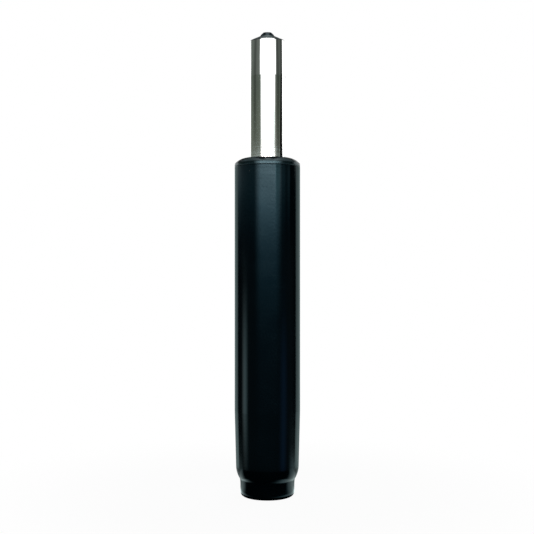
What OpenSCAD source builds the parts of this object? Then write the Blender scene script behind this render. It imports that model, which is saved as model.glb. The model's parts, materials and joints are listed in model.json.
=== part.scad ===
// Chair gas lift cylinder: a gas spring that slides and swivels in a tapered steel column.
// Millimetres, +Z up, origin at the centre of the foot. Drawn fully extended, with the button released.

/* [Column] */
// Outer diameter of the column
column_d = 50; // [46:0.5:56]
// Wall of the column
column_wall = 1.8; // [1.2:0.1:2.4]
// Height of the column's top edge above the foot
column_h = 251.2; // [220:0.1:320]
// Height at which the straight wall ends and the base taper begins
base_taper_top = 65.3; // [50:0.1:90]
// Height at which the base taper ends
base_taper_foot = 24; // [19:0.1:34]
// Length over which the base taper loses one millimetre of diameter
base_taper_rate = 20; // [15:1:30]
// Diameter of the neck under the base taper
neck_d = 41.4; // [38.6:0.1:44]
// Radius of the outward bend under the base taper
shoulder_r = 22; // [12:1:30]
// Radius of the inward bend above the neck
neck_fillet_r = 11; // [6:1:16]
// Outer radius of the rolled foot
foot_r = 3.5; // [2.6:0.1:4.5]
// Opening in the rolled foot
foot_hole_d = 30; // [27:0.5:32]

/* [Guide bush] */
// Height of the flange's straight edge above the seam
flange_land = 2.3; // [0.4:0.1:6]
// Height of the flange's dome above that edge
dome_rise = 4.1; // [2:0.1:5]
// Width of the flat between the dome and the bore's chamfer
crest_w = 0.5; // [0.2:0.1:3]
// Depth of the bush inside the column
bush_reach = 110; // [80:1:150]
// Wall of the bush's sleeve
bush_sleeve = 2.4; // [1.6:0.1:3.6]
// Height of the closed ring at each end of the sleeve
bush_ring_h = 9; // [5:0.5:20]
// Number of ribs between the two rings
bush_ribs = 8; // [4:1:12]
// Thickness of a rib
bush_rib_w = 2.2; // [1.2:0.1:4]
// Chamfer at the mouth of the bore
bush_lead = 0.8; // [0.3:0.1:1.5]
// Radial running clearance round the pressure tube
guide_clear = 0.08; // [0.03:0.01:0.1]
// Radial clearance of the bush in the column
column_fit = 0.05; // [0.02:0.01:0.1]

/* [Pressure tube] */
// Outer diameter of the pressure tube
tube_d = 28; // [26:0.5:31]
// Wall of the pressure tube
tube_wall = 1.9; // [1.4:0.1:2.4]
// Travel of the gas spring
stroke = 60; // [40:1:75]
// Length of tube that stays above the flange when the gas spring is lowered
parked_reach = 33.1; // [31:0.1:60]
// Length of the seat taper
seat_taper_len = 27.8; // [18:0.1:30]
// Length over which the seat taper loses one millimetre of diameter
seat_taper_rate = 20; // [18:1:30]
// Rise of the crowned end from its edge to its hole
crown_rise = 3.6; // [2:0.1:5]
// Radius of the crowned end's edge
crown_edge_r = 1.2; // [0.5:0.1:2]
// Thickness of the crowned end
crown_wall = 2.2; // [1.5:0.1:3]
// Hole in the crowned end
crown_hole_d = 11.4; // [10.6:0.1:13]
// Outer radius of the rolled lower end
tube_foot_r = 3; // [2.6:0.1:3.6]
// Opening in the rolled lower end
tube_foot_hole_d = 15; // [12:0.5:18]
// Radial clearance of the pieces packed in the tube
pack_fit = 0.05; // [0.02:0.01:0.1]

/* [Release button and valve] */
// Diameter of the button
button_d = 8.2; // [7:0.1:8.6]
// Height of the button above the crowned end
button_rise = 2.8; // [2.7:0.1:8]
// Travel of the button
button_travel = 1.2; // [1:0.1:3]
// Chamfer on the button's top edge
button_chamfer = 0.8; // [0.3:0.1:1.5]
// Diameter of the button's inner flange
button_flange_d = 12; // [10.5:0.5:14]
// Thickness of the button's inner flange
button_flange_t = 2; // [1.2:0.1:3]
// Radial running clearance of the button and of the stem
button_clear = 0.1; // [0.04:0.01:0.1]
// Clearance round the button's flange, and under it when pressed
flange_clear = 0.4; // [0.3:0.1:0.8]
// Height of the button bush from the valve to the crowned end
button_bush_h = 10.5; // [9:0.1:16]
// Height of the bush's tapered collar above the crowned end
collar_rise = 1.6; // [0.5:0.1:1.6]
// How much the collar's taper takes off its radius
collar_taper = 1; // [0.3:0.1:1]
// Length of the valve's plug
plug_h = 18; // [16:0.5:26]
// Length of the valve's spigot in the inner tube
spigot_h = 8; // [6:0.5:14]
// Depth of the plug's ring groove below the top of the plug
plug_ring_drop = 6; // [4:0.5:9]
// Height of the gas gallery round the foot of the plug
gallery_h = 4; // [3:0.1:6]
// Width of the ledge that the inner tube butts against
gallery_ledge = 0.6; // [0.3:0.1:0.9]
// Diameter of the gas ports
port_d = 2; // [1:0.1:2.6]
// Number of gas ports
port_count = 2; // [1:1:4]
// Diameter of the valve stem
stem_d = 6; // [5:0.1:7]
// Diameter of the stem's waist
stem_waist_d = 4.4; // [3:0.1:4.8]
// Length of the stem's waist
stem_waist_len = 6; // [4:0.1:6.4]
// Diameter of the stem's head
stem_head_d = 9; // [8:0.5:14]
// Thickness of the stem's head
stem_head_t = 2; // [1:0.1:4]
// Distance of each stem seal from the gas ports
stem_ring_offset = 3.9; // [3.7:0.1:5]
// Section of the sealing rings
ring_d = 2; // [1.2:0.1:2.2]
// Clearance of a sealing ring all round
ring_clear = 0.05; // [0.02:0.01:0.1]

/* [Inner tube and piston] */
// Outer diameter of the inner tube
inner_tube_d = 22; // [20:0.1:23]
// Wall of the inner tube
inner_tube_wall = 1; // [0.8:0.1:1.5]
// Height of the piston
piston_h = 12; // [9:0.5:20]
// Radial running clearance of the piston
piston_clear = 0.06; // [0.03:0.01:0.1]
// Height of the piston's sealing ring above the piston's foot
piston_ring_rise = 3.6; // [2:0.1:4.5]
// Height of the glide ring above the piston's foot
glide_rise = 6.8; // [6:0.1:7.4]
// Height of the glide ring
glide_h = 2.6; // [1.5:0.1:3]
// Thickness of the glide ring
glide_t = 1.6; // [1:0.1:2.5]
// Gap between the piston and its lower stop
rebound_gap = 1.2; // [0.5:0.1:5]
// Diameter of the piston washer
piston_washer_d = 13; // [11:0.5:17]
// Thickness of the piston washer
piston_washer_t = 1.5; // [0.8:0.1:3]

/* [Piston rod] */
// Diameter of the rod
rod_d = 10; // [9:0.1:11]
// Diameter of the turned lower end of the rod
rod_end_d = 8; // [7:0.1:8.6]
// Diameter of the tenon through the piston
tenon_d = 6.5; // [5:0.1:7.5]
// Diameter of the headed end above the piston
rod_head_d = 9.6; // [8.5:0.1:12]
// Height of the headed end
rod_head_h = 2; // [1:0.1:4]
// Radial clearance of the pieces seated on the rod
rod_fit = 0.03; // [0.01:0.01:0.1]
// Radial running clearance of the rod in its guide and in the base cup
rod_clear = 0.06; // [0.03:0.01:0.1]
// Length of the rod below the clip
rod_tail = 2.5; // [1.5:0.1:3.5]
// Chamfer at the foot of the rod
rod_chamfer = 0.6; // [0.3:0.1:1]

/* [Rod guide pack] */
// Thickness of the end washer
end_washer_t = 2; // [1.8:0.1:3]
// Height of the rod guide
rod_guide_h = 10; // [6:0.5:18]
// Height of the rod seal
rod_seal_h = 5; // [4:0.1:8]
// Depth of the rod seal's lip groove
seal_groove_depth = 3; // [1.5:0.1:3.4]
// Width of the rod seal's lip groove
seal_groove_w = 2; // [1:0.1:3]
// Thickness of the seal washer
seal_washer_t = 2.4; // [1.6:0.1:4]
// Height of the seal washer's spigot in the inner tube
seat_spigot_h = 3; // [2:0.1:6]
// Wall of the seal washer's spigot
seat_spigot_wall = 2; // [1.2:0.1:3]
// Width of the gas grooves
gas_groove_w = 2.5; // [1:0.1:4]
// Depth of the gas grooves below the inner tube
gas_groove_depth = 0.8; // [0.3:0.1:1.2]
// Number of gas grooves
gas_grooves = 4; // [2:1:6]

/* [Buffer] */
// Height of the rubber buffer
buffer_h = 12; // [8:0.5:20]
// Diameter of the rubber buffer
buffer_d = 26; // [22:0.5:30]
// Depth of the groove round the buffer
buffer_groove = 1.6; // [0.5:0.1:3]
// Clearance round the buffer in its cup and on the rod
buffer_clear = 0.3; // [0.1:0.1:0.6]
// Thickness of the buffer cup
buffer_cup_t = 1.5; // [1:0.1:2.5]
// Height of the buffer cup's rim
buffer_cup_h = 4.5; // [3:0.1:7]
// Gap between the buffer and the lowered gas spring
stop_gap = 0.8; // [0.3:0.1:3]

/* [Thrust bearing] */
// Diameter of the balls
ball_d = 4; // [3:0.1:4.6]
// Number of balls
ball_count = 10; // [6:1:12]
// Diameter of the circle of balls
ball_pitch_d = 19; // [18:0.1:20]
// Outer diameter of the races
race_d = 27; // [25:0.5:29]
// Thickness of a race
race_t = 2; // [1.5:0.1:3]
// Depth of the ball track in a race
track_depth = 0.5; // [0.3:0.1:0.8]
// Clearance round a ball
ball_clear = 0.05; // [0.02:0.01:0.1]
// Clearance between the lower race and the rod
race_clear = 0.4; // [0.3:0.1:0.8]
// Radial width of the ball cage
cage_w = 6; // [5:0.1:6.6]
// Thickness of the ball cage
cage_t = 1.6; // [1:0.1:1.8]

/* [Base cup] */
// Sheet thickness of the base cup
cup_t = 2.2; // [1.5:0.1:2.6]
// Height of the recess in the foot
recess_h = 8; // [7.5:0.1:11]
// Outer diameter of the base cup's raised part
cup_d = 29; // [27:0.5:30]
// Outer diameter of the retaining washer
retaining_washer_d = 16; // [14:0.5:20]
// Thickness of the retaining washer
retaining_washer_t = 1; // [0.6:0.1:1.4]
// Outer diameter of the retaining clip
clip_d = 13; // [11:0.5:15]
// Thickness of the retaining clip
clip_t = 1.2; // [0.8:0.1:1.5]
// Width of the clip's mouth
clip_mouth = 5; // [4:0.1:5.6]
// Depth of the clip groove in the rod
clip_groove_depth = 1; // [0.5:0.1:1.4]
// End play of the rod in the base cup
end_play = 0.2; // [0.1:0.1:0.4]

/* [Hidden] */
$fn = 96;
arc_steps = 10;
// How far a cutting shape runs past the face that it opens
past = 1;

paint_black = "#14181b";
plastic_black = "#1b1c1e";
bright_steel = "#c9ccce";
plain_steel = "#9da1a4";
zinc = "#b7b9b4";
brass = "#b6964f";
rubber_black = "#222222";
button_grey = "#3c3f41";
nylon_white = "#d8d4c8";

// Column
column_r = column_d / 2;
column_bore_r = column_r - column_wall;
foot_hole_r = foot_hole_d / 2;
neck_r = neck_d / 2;
base_angle = atan(1 / (2 * base_taper_rate));
base_taper_r = column_r - (base_taper_top - base_taper_foot) / (2 * base_taper_rate);
bend_sum = shoulder_r + neck_fillet_r;
bend_angle = acos((neck_r - base_taper_r + shoulder_r * cos(base_angle) + neck_fillet_r) / bend_sum);
shoulder_centre = [base_taper_r, base_taper_foot] - shoulder_r * [cos(base_angle), -sin(base_angle)];
fillet_centre = shoulder_centre + bend_sum * [cos(bend_angle), -sin(bend_angle)];
// The rolled foot's flat part ends here
foot_flat_r = neck_r - foot_r;

// Base cup and thrust bearing, from the foot up
cup_r = cup_d / 2;
cup_top = recess_h + cup_t;
race_gap = ball_d + 2 * (ball_clear - track_depth);
ball_z = cup_top + race_t + race_gap / 2;
upper_race_z = cup_top + race_t + race_gap;
pitch_r = ball_pitch_d / 2;
rod_r = rod_d / 2;
rod_end_r = rod_end_d / 2;
buffer_cup_z = upper_race_z + race_t;
rod_shoulder_z = buffer_cup_z + buffer_cup_t;
buffer_r = buffer_d / 2;
buffer_top = rod_shoulder_z + buffer_h;
retaining_washer_z = recess_h - end_play - retaining_washer_t;
clip_z = retaining_washer_z - clip_t;
clip_groove_r = rod_end_r - clip_groove_depth;
rod_foot_z = clip_z - rod_tail;

// Guide bush
tube_r = tube_d / 2;
bush_bore_r = tube_r + guide_clear;
bush_sleeve_r = bush_bore_r + bush_sleeve;
bush_wall_r = column_bore_r - column_fit;
bush_foot = column_h - bush_reach;
dome_foot = column_h + flange_land;
flange_top = dome_foot + dome_rise;
crest_r = bush_bore_r + bush_lead + crest_w;
dome_r = ((column_r - crest_r) ^ 2 + dome_rise ^ 2) / (2 * dome_rise);
dome_centre = [crest_r, flange_top - dome_r];
dome_start = asin((dome_r - dome_rise) / dome_r);

// Pressure tube
tube_bore_r = tube_r - tube_wall;
pack_r = tube_bore_r - pack_fit;
tube_foot_z = buffer_top + stop_gap + stroke;
tube_top = flange_top + stroke + parked_reach;
tube_foot_hole_r = tube_foot_hole_d / 2;
crown_hole_r = crown_hole_d / 2;
crown_edge_z = tube_top - crown_rise;
seat_taper_z = crown_edge_z - seat_taper_len;
seat_angle = atan(1 / (2 * seat_taper_rate));
crown_edge_point = [tube_r - seat_taper_len / (2 * seat_taper_rate), crown_edge_z];
crown_slope = crown_rise / (crown_edge_point[0] - crown_hole_r);
crown_angle = atan(crown_slope);

// Rod guide pack, from the rolled lower end up
end_washer_z = tube_foot_z + tube_wall;
rod_guide_z = end_washer_z + end_washer_t;
rod_seal_z = rod_guide_z + rod_guide_h;
seal_washer_z = rod_seal_z + rod_seal_h;
inner_tube_z = seal_washer_z + seal_washer_t;
seat_spigot_top = inner_tube_z + seat_spigot_h;

// Inner tube, piston and headed end of the rod
inner_tube_r = inner_tube_d / 2;
inner_bore_r = inner_tube_r - inner_tube_wall;
piston_z = seat_spigot_top + rebound_gap;
piston_washer_z = piston_z + piston_h;
rod_head_z = piston_washer_z + piston_washer_t;
tenon_r = tenon_d / 2;

// Valve, from the crowned end down
plug_top = tube_top - crown_wall - pack_fit - button_bush_h;
plug_foot = plug_top - plug_h;
spigot_foot = plug_foot - spigot_h;
spigot_r = inner_bore_r - pack_fit;
gallery_r = inner_bore_r + gallery_ledge;
port_z = plug_foot + gallery_h / 2;
plug_ring_z = plug_top - plug_ring_drop;
spigot_ring_z = plug_foot - spigot_h / 2;
stem_r = stem_d / 2;
stem_ring_zs = [port_z + stem_ring_offset, port_z - stem_ring_offset];

// Release button
button_r = button_d / 2;
button_bore_r = button_r + button_clear;
collar_r = crown_hole_r - pack_fit;
button_foot = plug_top + button_travel + flange_clear;
cavity_top = button_foot + button_flange_t + ring_clear;
cavity_r = button_flange_d / 2 + flange_clear;
button_top = tube_top + button_rise;

// Points of an arc about a centre, from one angle to another
function arc(centre, r, from, to) =
    [for (i = [0 : arc_steps]) centre + r * [cos(from + (to - from) * i / arc_steps),
                                             sin(from + (to - from) * i / arc_steps)]];

// The same points in the opposite order
function reversed(points) = [for (i = [len(points) - 1 : -1 : 0]) points[i]];

// Centre of the round of radius r at a corner between two faces with unit normals a and b
function round_centre(corner, a, b, r) = corner - r * (a + b) / (1 + a * b);

// Side of the column, set in from its outer face by a depth
function column_side(depth) = concat(
    [[foot_hole_r, depth]],
    arc([foot_flat_r, foot_r], foot_r - depth, -90, 0),
    arc(fillet_centre, neck_fillet_r + depth, 180, 180 - bend_angle),
    arc(shoulder_centre, shoulder_r - depth, -bend_angle, -base_angle),
    [[column_r - depth, base_taper_top + depth * tan(base_angle / 2)], [column_r - depth, column_h]]
);

// Height of the crowned end's inner face at a radius
function crown_under(r) = tube_top - crown_wall - (r - crown_hole_r) * crown_slope;

// Solid of revolution with a closed outline
module turned(points) {
    rotate_extrude() polygon(points);
}

// Plain ring between two radii, standing on a height
module ring(inner_r, outer_r, z, h) {
    rotate_extrude() translate([inner_r, z]) square([outer_r - inner_r, h]);
}

// Sealing ring of round section
module o_ring(centre_r, z) {
    rotate_extrude() translate([centre_r, z]) circle(d = ring_d);
}

// Radius of the middle of a sealing ring that seals outwards or inwards against a face
function outward_ring_r(face_r) = face_r - ring_clear - ring_d / 2;
function inward_ring_r(face_r) = face_r + ring_clear + ring_d / 2;

// Groove for a sealing ring
module o_ring_groove(centre_r, z) {
    size = ring_d + 2 * ring_clear;
    ring(centre_r - size / 2, centre_r + size / 2, z - size / 2, size);
}

// Bearing race on a height, with its ball track
module race(bore_r, z) {
    rotate_extrude() difference() {
        translate([bore_r, z]) square([race_d / 2 - bore_r, race_t]);
        translate([pitch_r, ball_z]) circle(r = ball_d / 2 + ball_clear);
    }
}

// Places a copy of its children at each ball
module at_each_ball() {
    for (i = [0 : ball_count - 1]) rotate([0, 0, 360 / ball_count * i])
        translate([pitch_r, 0, ball_z]) children();
}

// Column body
module column_tube() {
    color(paint_black) turned(concat(column_side(0), reversed(column_side(column_wall))));
}

module base_cup() {
    color(zinc) turned([
        [cup_r - cup_t, column_wall],
        [foot_flat_r, column_wall],
        [foot_flat_r, column_wall + cup_t],
        [cup_r, column_wall + cup_t],
        [cup_r, cup_top],
        [rod_end_r + rod_clear, cup_top],
        [rod_end_r + rod_clear, recess_h],
        [cup_r - cup_t, recess_h]
    ]);
}

module lower_race() {
    color(plain_steel) race(rod_end_r + race_clear, cup_top);
}

module guide_bush() {
    color(plastic_black) {
        turned(concat(
            [
                [bush_bore_r, bush_foot],
                [bush_wall_r, bush_foot],
                [bush_wall_r, bush_foot + bush_ring_h],
                [bush_sleeve_r, bush_foot + bush_ring_h],
                [bush_sleeve_r, column_h - bush_ring_h],
                [bush_wall_r, column_h - bush_ring_h],
                [bush_wall_r, column_h],
                [column_r, column_h]
            ],
            arc(dome_centre, dome_r, dome_start, 90),
            [[bush_bore_r + bush_lead, flange_top], [bush_bore_r, flange_top - bush_lead]]
        ));
        intersection() {
            ring(bush_sleeve_r, bush_wall_r, bush_foot, bush_reach);
            for (i = [0 : bush_ribs - 1]) rotate([0, 0, 360 / bush_ribs * i])
                translate([0, -bush_rib_w / 2, bush_foot])
                cube([column_r, bush_rib_w, bush_reach]);
        }
    }
}

// Ball cage body
module ball_cage() {
    color(brass) difference() {
        ring(pitch_r - cage_w / 2, pitch_r + cage_w / 2, ball_z - cage_t / 2, cage_t);
        at_each_ball() cylinder(d = ball_d + 2 * ball_clear, h = cage_t + past, center = true);
    }
}

module bearing_balls() {
    color(bright_steel) at_each_ball() sphere(d = ball_d);
}

// Rod body
module upper_race() {
    color(plain_steel) race(rod_end_r + rod_fit, upper_race_z);
}

module buffer_cup() {
    rim_r = buffer_r + buffer_clear;
    color(zinc) turned([
        [rod_end_r + rod_fit, buffer_cup_z],
        [rim_r + buffer_cup_t, buffer_cup_z],
        [rim_r + buffer_cup_t, buffer_cup_z + buffer_cup_h],
        [rim_r, buffer_cup_z + buffer_cup_h],
        [rim_r, rod_shoulder_z],
        [rod_end_r + rod_fit, rod_shoulder_z]
    ]);
}

module rubber_buffer() {
    groove_z = (buffer_cup_z + buffer_cup_h + buffer_top) / 2;
    color(rubber_black) turned([
        [rod_r + buffer_clear, rod_shoulder_z],
        [buffer_r, rod_shoulder_z],
        [buffer_r, groove_z - buffer_groove],
        [buffer_r - buffer_groove, groove_z],
        [buffer_r, groove_z + buffer_groove],
        [buffer_r, buffer_top],
        [rod_r + buffer_clear, buffer_top]
    ]);
}

module retaining_washer() {
    color(zinc) ring(rod_end_r + rod_fit, retaining_washer_d / 2, retaining_washer_z, retaining_washer_t);
}

module retaining_clip() {
    color(plain_steel) difference() {
        ring(clip_groove_r + rod_fit, clip_d / 2, clip_z, clip_t);
        translate([0, -clip_mouth / 2, clip_z - past]) cube([clip_d, clip_mouth, clip_t + 2 * past]);
    }
}

module piston_rod() {
    color(bright_steel) turned([
        [0, rod_foot_z],
        [rod_end_r - rod_chamfer, rod_foot_z],
        [rod_end_r, rod_foot_z + rod_chamfer],
        [rod_end_r, clip_z - rod_fit],
        [clip_groove_r, clip_z - rod_fit],
        [clip_groove_r, retaining_washer_z],
        [rod_end_r, retaining_washer_z],
        [rod_end_r, rod_shoulder_z],
        [rod_r, rod_shoulder_z],
        [rod_r, piston_z],
        [tenon_r, piston_z],
        [tenon_r, rod_head_z],
        [rod_head_d / 2, rod_head_z],
        [rod_head_d / 2, rod_head_z + rod_head_h],
        [0, rod_head_z + rod_head_h]
    ]);
}

module piston() {
    glide_groove_r = inner_bore_r - 2 * ring_clear - glide_t;
    color(plain_steel) difference() {
        ring(tenon_r + rod_fit, inner_bore_r - piston_clear, piston_z, piston_h);
        o_ring_groove(outward_ring_r(inner_bore_r), piston_z + piston_ring_rise);
        ring(glide_groove_r, inner_bore_r + past, piston_z + glide_rise - ring_clear,
             glide_h + 2 * ring_clear);
    }
}

module piston_o_ring() {
    color(rubber_black) o_ring(outward_ring_r(inner_bore_r), piston_z + piston_ring_rise);
}

module piston_glide_ring() {
    outer_r = inner_bore_r - ring_clear;
    color(nylon_white) ring(outer_r - glide_t, outer_r, piston_z + glide_rise, glide_h);
}

module piston_washer() {
    color(zinc) ring(tenon_r + rod_fit, piston_washer_d / 2, piston_washer_z, piston_washer_t);
}

// Gas cylinder body
module pressure_tube() {
    foot_centre = [tube_r - tube_foot_r, tube_foot_z + tube_foot_r];
    edge_centre = round_centre(crown_edge_point, [cos(seat_angle), sin(seat_angle)],
                               [sin(crown_angle), cos(crown_angle)], crown_edge_r);
    color(bright_steel) turned(concat(
        [[tube_foot_hole_r, tube_foot_z]],
        arc(foot_centre, tube_foot_r, -90, 0),
        [[tube_r, seat_taper_z]],
        arc(edge_centre, crown_edge_r, seat_angle, 90 - crown_angle),
        [
            [crown_hole_r, tube_top],
            [crown_hole_r, crown_under(crown_hole_r)],
            [tube_bore_r, crown_under(tube_bore_r)]
        ],
        arc(foot_centre, tube_foot_r - tube_wall, 0, -90),
        [[tube_foot_hole_r, end_washer_z]]
    ));
}

module end_washer() {
    color(zinc) ring(rod_r + rod_clear, tube_r - tube_foot_r, end_washer_z, end_washer_t);
}

module rod_guide() {
    color(brass) ring(rod_r + rod_clear, pack_r, rod_guide_z, rod_guide_h);
}

module rod_seal() {
    groove_r = (rod_r + pack_r) / 2;
    color(rubber_black) difference() {
        ring(rod_r + rod_clear, pack_r, rod_seal_z, rod_seal_h);
        ring(groove_r - seal_groove_w / 2, groove_r + seal_groove_w / 2,
             seal_washer_z - seal_groove_depth, seal_groove_depth + past);
    }
}

module seal_washer() {
    spigot_bore_r = spigot_r - seat_spigot_wall;
    color(plain_steel) difference() {
        union() {
            ring(rod_r + rod_clear, pack_r, seal_washer_z, seal_washer_t);
            ring(spigot_bore_r, spigot_r, seal_washer_z, seal_washer_t + seat_spigot_h);
        }
        for (i = [0 : gas_grooves - 1]) rotate([0, 0, 360 / gas_grooves * i])
            translate([spigot_bore_r - past, -gas_groove_w / 2, inner_tube_z - gas_groove_depth])
            cube([tube_r, gas_groove_w, gas_groove_depth + seat_spigot_h + past]);
    }
}

module inner_tube() {
    color(plain_steel) ring(inner_bore_r, inner_tube_r, inner_tube_z, plug_foot - inner_tube_z);
}

module valve_body() {
    color(brass) difference() {
        turned([
            [stem_r + button_clear, spigot_foot],
            [spigot_r, spigot_foot],
            [spigot_r, plug_foot],
            [gallery_r, plug_foot],
            [gallery_r, plug_foot + gallery_h],
            [pack_r, plug_foot + gallery_h],
            [pack_r, plug_top],
            [stem_r + button_clear, plug_top]
        ]);
        o_ring_groove(outward_ring_r(tube_bore_r), plug_ring_z);
        o_ring_groove(outward_ring_r(inner_bore_r), spigot_ring_z);
        for (z = stem_ring_zs) o_ring_groove(inward_ring_r(stem_r), z);
        for (i = [0 : port_count - 1]) rotate([0, 0, 360 / port_count * i]) translate([0, 0, port_z])
            rotate([0, 90, 0]) cylinder(d = port_d, h = tube_r);
    }
}

module valve_o_rings() {
    color(rubber_black) {
        o_ring(outward_ring_r(tube_bore_r), plug_ring_z);
        o_ring(outward_ring_r(inner_bore_r), spigot_ring_z);
    }
}

module stem_o_rings() {
    color(rubber_black) for (z = stem_ring_zs) o_ring(inward_ring_r(stem_r), z);
}

module button_bush() {
    color(plastic_black) turned([
        [cavity_r, plug_top],
        [pack_r, plug_top],
        [pack_r, crown_under(pack_r) - pack_fit],
        [collar_r, crown_under(collar_r) - pack_fit],
        [collar_r, tube_top],
        [collar_r - collar_taper, tube_top + collar_rise],
        [button_bore_r, tube_top + collar_rise],
        [button_bore_r, cavity_top],
        [cavity_r, cavity_top]
    ]);
}

// Release pin body
module valve_stem() {
    head_top = spigot_foot - ring_clear;
    waist_r = stem_waist_d / 2;
    color(bright_steel) turned([
        [0, head_top - stem_head_t],
        [stem_head_d / 2, head_top - stem_head_t],
        [stem_head_d / 2, head_top],
        [stem_r, head_top],
        [stem_r, port_z - stem_waist_len / 2],
        [waist_r, port_z - stem_waist_len / 2],
        [waist_r, port_z + stem_waist_len / 2],
        [stem_r, port_z + stem_waist_len / 2],
        [stem_r, button_foot],
        [0, button_foot]
    ]);
}

module release_button() {
    flange_r = button_flange_d / 2;
    color(button_grey) turned([
        [0, button_foot],
        [flange_r, button_foot],
        [flange_r, button_foot + button_flange_t],
        [button_r, button_foot + button_flange_t],
        [button_r, button_top - button_chamfer],
        [button_r - button_chamfer, button_top],
        [0, button_top]
    ]);
}

column_tube();
base_cup();
lower_race();
ball_cage();
bearing_balls();
upper_race();
buffer_cup();
rubber_buffer();
retaining_washer();
retaining_clip();
piston_rod();
piston();
piston_o_ring();
piston_glide_ring();
piston_washer();
guide_bush();
pressure_tube();
end_washer();
rod_guide();
rod_seal();
seal_washer();
inner_tube();
valve_body();
valve_o_rings();
stem_o_rings();
button_bush();
valve_stem();
release_button();
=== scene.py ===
"""Looks of a chair gas lift: a bright gas spring in a black column, on a pale floor in a white studio."""
import json
import math

import bmesh
import bpy
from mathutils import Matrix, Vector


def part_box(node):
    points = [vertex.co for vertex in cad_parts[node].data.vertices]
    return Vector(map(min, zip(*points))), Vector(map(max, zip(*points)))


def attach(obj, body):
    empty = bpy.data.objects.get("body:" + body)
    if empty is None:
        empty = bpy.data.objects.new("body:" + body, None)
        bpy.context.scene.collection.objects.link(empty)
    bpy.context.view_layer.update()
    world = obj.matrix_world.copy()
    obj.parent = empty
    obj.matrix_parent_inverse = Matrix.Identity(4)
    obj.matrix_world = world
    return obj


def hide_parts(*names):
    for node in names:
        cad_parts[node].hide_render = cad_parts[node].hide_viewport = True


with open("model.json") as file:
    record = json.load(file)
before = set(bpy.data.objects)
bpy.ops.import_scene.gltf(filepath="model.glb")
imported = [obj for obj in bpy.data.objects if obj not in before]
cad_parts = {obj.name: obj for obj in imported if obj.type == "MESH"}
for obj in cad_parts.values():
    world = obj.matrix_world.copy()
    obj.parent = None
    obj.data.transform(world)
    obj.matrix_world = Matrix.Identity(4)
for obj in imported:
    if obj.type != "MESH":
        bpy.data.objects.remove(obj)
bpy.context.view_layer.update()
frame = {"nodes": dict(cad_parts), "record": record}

MM = 0.001

# Sizes of the solids that their boxes don't give, in metres
COLUMN_WALL = 1.8 * MM
BASE_TAPER_TOP = 65.3 * MM
BASE_TAPER_RATE = 20
FOOT_R = 3.5 * MM
FOOT_HOLE_R = 15 * MM
FLANGE_LAND = 2.3 * MM
DOME_RISE = 4.1 * MM
CREST_W = 0.5 * MM
BUSH_BORE_R = 14.08 * MM
BUSH_SLEEVE_R = 16.48 * MM
BUSH_WALL_R = 23.15 * MM
BUSH_RING_H = 9 * MM
BUSH_LEAD = 0.8 * MM
BUSH_RIBS = 8
BUSH_RIB_W = 2.2 * MM
TUBE_WALL = 1.9 * MM
TUBE_FOOT_R = 3 * MM
TUBE_FOOT_HOLE_R = 7.5 * MM
SEAT_TAPER_LEN = 27.8 * MM
SEAT_TAPER_RATE = 20
CROWN_RISE = 3.6 * MM
CROWN_EDGE_R = 1.2 * MM
CROWN_WALL = 2.2 * MM
CROWN_HOLE_R = 5.7 * MM
COLLAR_R = 5.65 * MM
COLLAR_RISE = 1.6 * MM
COLLAR_TAPER = 1 * MM
COLLAR_BORE_R = 4.2 * MM
CAVITY_R = 6.4 * MM
CAVITY_H = 3.65 * MM
PACK_FIT = 0.05 * MM
BUTTON_R = 4.1 * MM
BUTTON_CHAMFER = 0.8 * MM
BUTTON_FLANGE_T = 2 * MM
CUP_T = 2.2 * MM
CUP_R = 14.5 * MM
CUP_BORE_R = 4.06 * MM
RECESS_H = 8 * MM
ROD_END_R = 4 * MM
ROD_SHOULDER_Z = 18.8 * MM
CLIP_GROOVE_R = 3 * MM
CLIP_BORE_R = 3.03 * MM
WASHER_BORE_R = 4.03 * MM
TENON_R = 3.25 * MM
ROD_HEAD_R = 4.8 * MM
ROD_HEAD_H = 2 * MM
PISTON_Z = 117.2 * MM
ROD_CHAMFER = 0.6 * MM
CLIP_MOUTH = 5 * MM

# Rounds that the real edges have and the solids leave sharp
SEAM_ROUND = 0.35 * MM
FINE_ROUND = 0.15 * MM
SHEET_ROUND = 0.5 * MM
BEND_ROUND = 1.6 * MM
DOME_EDGE_ROUND = 0.3 * MM
# Neck and shoulder as the photo shows them, at most 0.2 mm from the solid
BASE_TAPER_FOOT = 22.8 * MM
SHOULDER_R = 18.4 * MM
NECK_FILLET_R = 3.5 * MM
NECK_FLARE_R = 44 * MM
NECK_FLARE = 6
NECK_R = 20.66 * MM
# Degrees by which the bush's edge leans in, and how far its ribs reach into their neighbours
LAND_LEAN = 5
RIB_ROOT = 0.2 * MM

FINE_SEGMENTS = 256
SMALL_SEGMENTS = 128
ARC_STEPS = 12
ROUND_STEPS = 5
# Largest share of a side that a round takes up
ROUND_REACH = 0.45
SHARP_ANGLE = math.radians(32)
AXIS_R = 1e-7
# Sides longer than this get a ring near each end, so that smooth shading leaves them straight
LONG_SIDE = 1.2 * MM
HOLD = 0.15 * MM
# Range that a noise mostly keeps to, and how finely noises are broken up
NOISE_RANGE = (0.3, 0.7)
SMOOTH = 1.0
PLAIN = 2.0
FINE = 3.0
FINEST = 4.0
WHITE = (1, 1, 1, 1)

# Camera, in metres and millimetres of lens
CAMERA_AT = (-0.0003, -0.7645, 0.1746)
CAMERA_LENS = 67.4
CAMERA_SENSOR = 36

FLOOR_R = 0.32


# Outlines and turned shapes


def arc(centre, radius, start, end):
    """Points of an arc about a centre, between two angles in degrees."""
    points = []
    for step in range(ARC_STEPS + 1):
        angle = math.radians(start + (end - start) * step / ARC_STEPS)
        points.append((centre[0] + radius * math.cos(angle), centre[1] + radius * math.sin(angle)))
    return points


def unit(start, end):
    """Direction from one point to another, and their distance."""
    across, up = end[0] - start[0], end[1] - start[1]
    length = math.hypot(across, up)
    return (across / length, up / length), length


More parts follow.
